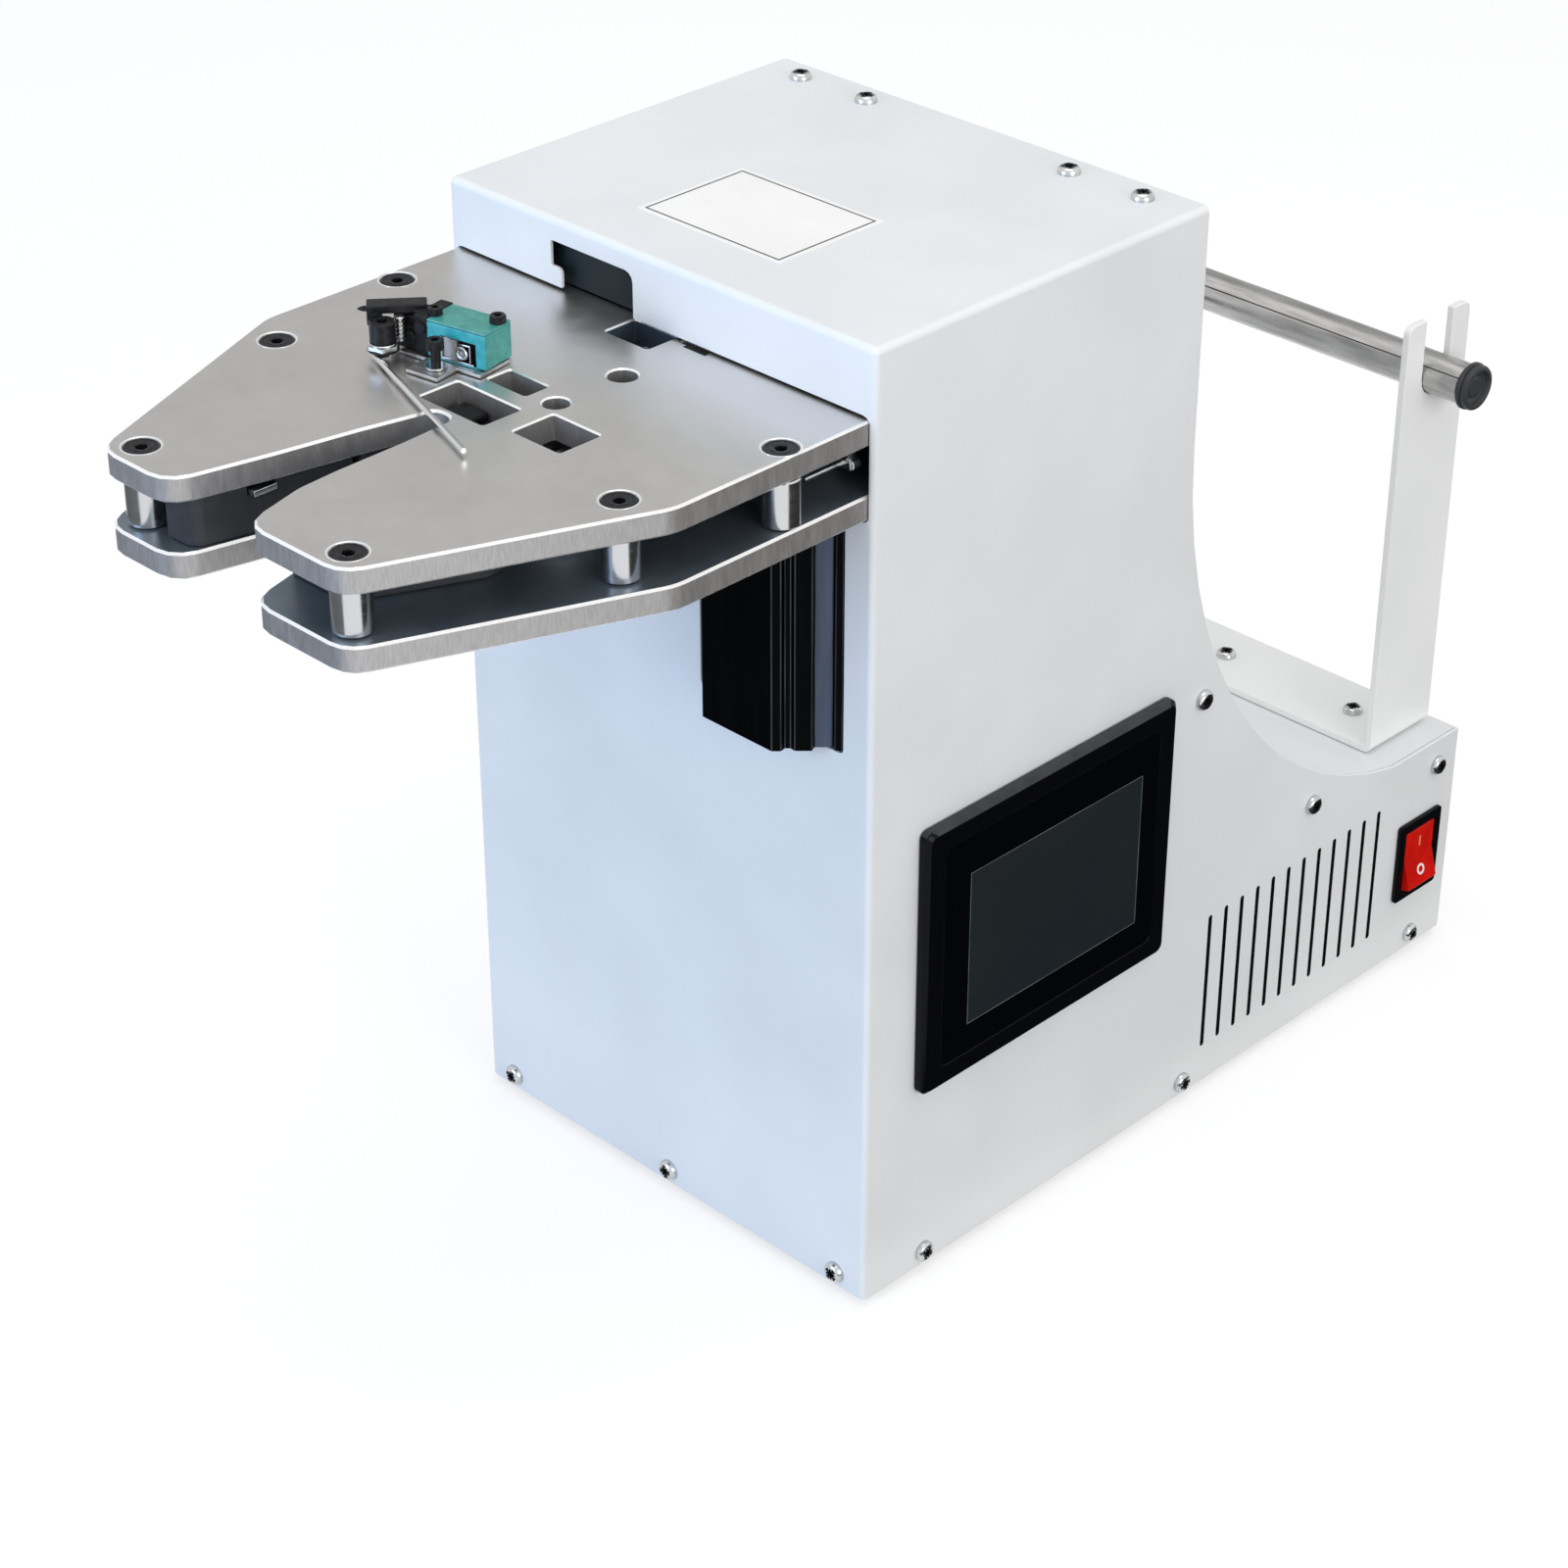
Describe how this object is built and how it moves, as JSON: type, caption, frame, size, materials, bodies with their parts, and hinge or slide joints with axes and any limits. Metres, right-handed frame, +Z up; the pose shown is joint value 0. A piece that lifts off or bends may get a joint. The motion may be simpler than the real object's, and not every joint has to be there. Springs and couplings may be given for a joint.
{
  "type": "twist tie machine",
  "caption": "Countertop machine that ties bag necks: white cabinet, V-mouthed plates with feed and twist gear, side touch screen, rocker switch and a reel holder at the back.",
  "frame": {"origin": "on the ground under the middle of the machine, centred left to right and front to back, feet at Z = 0", "axes": "+X to the machine's right, the side with the screen; +Y to the back, away from the mouth; +Z up"},
  "size_m": [0.216, 0.526, 0.375],
  "materials": {
    "white_powder_coat": "fine satin powder coat",
    "satin_aluminium": "machined, satin",
    "polished_steel": "bright",
    "black_oxide_steel": "black oxide",
    "motor_black": "black, satin",
    "guide_grey": "dark, matt",
    "black_plastic": "semi-gloss",
    "screen_dark": "glossy, unlit",
    "rocker_red": "gloss",
    "switch_teal": "satin",
    "dark_rubber": "matt",
    "module_grey": "matt"
  },
  "bodies": {
    "machine": {"base_tray": "white_powder_coat", "foot_front_left": "dark_rubber", "foot_front_right": "dark_rubber", "foot_rear_left": "dark_rubber", "foot_rear_right": "dark_rubber", "main_shell": "white_powder_coat", "rear_cover": "white_powder_coat", "upright_left": "polished_steel", "upright_right": "polished_steel", "lower_plate": "satin_aluminium", "upper_plate": "satin_aluminium", "deck_spacer_1": "polished_steel", "deck_spacer_2": "polished_steel", "deck_spacer_3": "polished_steel", "deck_spacer_4": "polished_steel", "deck_spacer_5": "polished_steel", "deck_spacer_6": "polished_steel", "deck_screw_1": "black_oxide_steel", "deck_screw_2": "black_oxide_steel", "deck_screw_3": "black_oxide_steel", "deck_screw_4": "black_oxide_steel", "deck_screw_5": "black_oxide_steel", "deck_screw_6": "black_oxide_steel", "guide_left": "guide_grey", "guide_right": "guide_grey", "tie_stop": "polished_steel", "spindle_bearing": "guide_grey", "motor_plate": "satin_aluminium", "twist_motor": "motor_black", "feed_motor": "motor_black", "arm_pin": "polished_steel", "cutter_solenoid": "motor_black", "switch_bracket": "polished_steel", "switch_body": "switch_teal", "switch_head": "black_plastic", "screen_bezel": "black_plastic", "screen_glass": "screen_dark", "rocker_frame": "black_plastic", "reel_bracket": "white_powder_coat", "power_inlet": "black_plastic", "power_supply": "polished_steel", "controller": "module_grey", "feed_driver": "module_grey", "twist_driver": "module_grey", "tie_eyelet": "black_plastic"},
    "twister": {"twister_spindle": "black_oxide_steel", "spindle_gear": "polished_steel"},
    "twist_drive": {"drive_gear": "polished_steel"},
    "feed": {"feed_roller": "polished_steel"},
    "press_arm": {"pressure_arm": "polished_steel"},
    "press_roller": {"pressure_roller": "dark_rubber"},
    "blade": {"cutter_blade": "polished_steel"},
    "trigger": {"switch_lever": "black_plastic", "lever_clamp": "black_plastic", "trigger_rod": "polished_steel"},
    "power_rocker": {"rocker": "rocker_red"},
    "reel_tube": {"reel_rod": "polished_steel", "rod_cap_left": "black_plastic", "rod_cap_right": "black_plastic"}
  },
  "joints": [
    {"name": "drive_spin", "type": "hinge", "parent": "machine", "child": "twist_drive", "pos_m": [0, 0.04, 0.2935], "axis": [0, 1, 0], "continuous": true},
    {"name": "twister_spin", "type": "hinge", "parent": "machine", "child": "twister", "pos_m": [0, -0.168, 0.3325], "axis": [0, 1, 0], "continuous": true},
    {"name": "feed_spin", "type": "hinge", "parent": "machine", "child": "feed", "pos_m": [0.0538, -0.06725, 0.3325], "axis": [0, 0, 1], "continuous": true},
    {"name": "press_arm_swing", "type": "hinge", "parent": "machine", "child": "press_arm", "pos_m": [0.026, -0.04005, 0.3258], "axis": [0, 0, -1], "range_deg": [0, 12], "stiffness_Nm_per_rad": 0.4, "springref_deg": -5.73},
    {"name": "press_roller_spin", "type": "hinge", "parent": "press_arm", "child": "press_roller", "pos_m": [0.0303, -0.06725, 0.3325], "axis": [0, 0, 1], "continuous": true},
    {"name": "cutter_stroke", "type": "slide", "parent": "machine", "child": "blade", "axis": [0, -1, 0], "range_m": [0, 0.008], "stiffness_N_per_m": 150, "springref_m": -0.002},
    {"name": "trigger_swing", "type": "hinge", "parent": "machine", "child": "trigger", "pos_m": [-0.04351, -0.14649, 0.36], "axis": [0, 0, 1], "range_deg": [0, 12], "stiffness_Nm_per_rad": 0.05, "springref_deg": -5.73},
    {"name": "rocker_tilt", "type": "hinge", "parent": "machine", "child": "power_rocker", "pos_m": [0.099, 0.2375, 0.04835], "axis": [0, 1, 0], "range_deg": [0, 16]},
    {"name": "tube_lift", "type": "slide", "parent": "machine", "child": "reel_tube", "axis": [0, 0, 1], "range_m": [0, 0.036]}
  ],
  "couplings": [
    {"joint": "twister_spin", "follows": "drive_spin", "ratio": -1.6},
    {"joint": "press_roller_spin", "follows": "feed_spin", "ratio": -1.5778}
  ]
}
